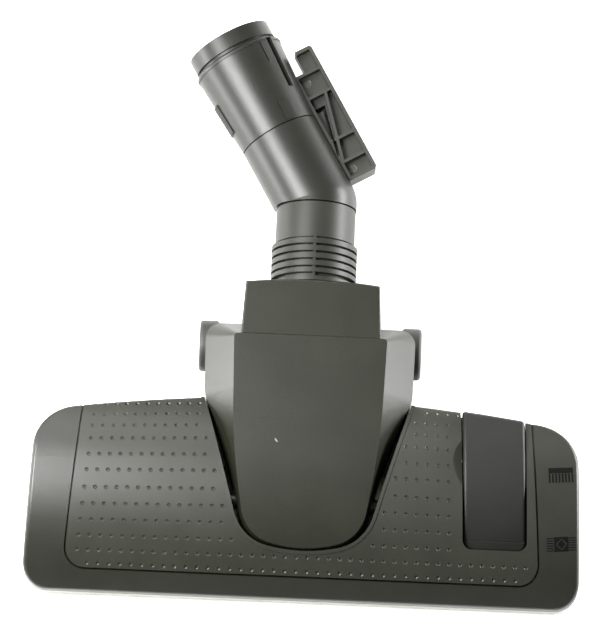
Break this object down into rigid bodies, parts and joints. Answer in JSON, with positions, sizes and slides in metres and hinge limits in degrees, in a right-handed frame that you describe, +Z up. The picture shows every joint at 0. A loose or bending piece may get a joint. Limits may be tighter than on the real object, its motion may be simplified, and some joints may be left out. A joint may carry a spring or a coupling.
{
  "type": "vacuum cleaner floor head",
  "caption": "Wide arched vacuum floor head with a rocker pedal, a tilting wheeled neck and a swivelling bent connector for a suction tube.",
  "frame": {"origin": "on the floor, on the sole's front land in the head's middle plane, 10 mm behind the head's front edge", "axes": "+X to the right seen from the front, +Y rearward along the neck, +Z up from the floor"},
  "size_m": [0.278, 0.2974, 0.0476],
  "materials": {
    "housing": "fine spark-eroded matte",
    "panel": "fine matte with rows of moulded dimples",
    "neck": "satin",
    "tube": "semi-gloss",
    "inner_plastic": "as moulded",
    "sole": "smooth satin",
    "tread": "soft matte",
    "seal": "soft matte",
    "steel": "zinc plated",
    "velour": "short directional pile",
    "bristle": "nylon tufts"
  },
  "bodies": {
    "head": {"upper_frame": "housing", "dimple_panel": "panel", "sole_base": "sole", "housing_screws": "steel", "thread_lifter_left": "velour", "thread_lifter_right": "velour", "trunnion_bearing_left": "inner_plastic", "trunnion_bearing_right": "inner_plastic", "pedal_pin": "steel", "brush_lift_springs": "steel"},
    "pedal": {"pedal": "housing"},
    "brush": {"brush_frame": "inner_plastic", "bristle_strip_front": "bristle", "bristle_strip_rear": "bristle"},
    "neck": {"neck_cover": "neck", "neck_tray": "neck", "ribbed_collar": "tube", "swivel_ring": "tube", "swivel_seal": "seal", "axle_left": "steel", "axle_right": "steel"},
    "wheel_left": {"wheel_left": "inner_plastic", "tread_left": "tread"},
    "wheel_right": {"wheel_right": "inner_plastic", "tread_right": "tread"},
    "elbow": {"elbow": "tube", "connector": "tube", "parking_rail": "neck"}
  },
  "joints": [
    {"name": "neck_tilt", "type": "hinge", "parent": "head", "child": "neck", "pos_m": [0, 0.036, 0.027], "axis": [1, 0, 0], "range_deg": [0, 60]},
    {"name": "elbow_swivel", "type": "hinge", "parent": "neck", "child": "elbow", "pos_m": [0, 0.185, 0.0237], "axis": [0, 1, 0], "continuous": true},
    {"name": "wheel_left_spin", "type": "hinge", "parent": "neck", "child": "wheel_left", "pos_m": [-0.051, 0.1194, 0.013], "axis": [1, 0, 0], "continuous": true},
    {"name": "wheel_right_spin", "type": "hinge", "parent": "neck", "child": "wheel_right", "pos_m": [0.051, 0.1194, 0.013], "axis": [1, 0, 0], "continuous": true},
    {"name": "pedal_rock", "type": "hinge", "parent": "head", "child": "pedal", "pos_m": [0.0945, 0.0495, 0.027], "axis": [1, 0, 0], "range_deg": [-15, 0]},
    {"name": "brush_drop", "type": "slide", "parent": "head", "child": "brush", "axis": [0, 0, -1], "range_m": [0, 0.00525], "deforming": ["brush_lift_springs"]}
  ],
  "couplings": [
    {"joint": "brush_drop", "follows": "pedal_rock", "m_per_rad": -0.01994}
  ]
}
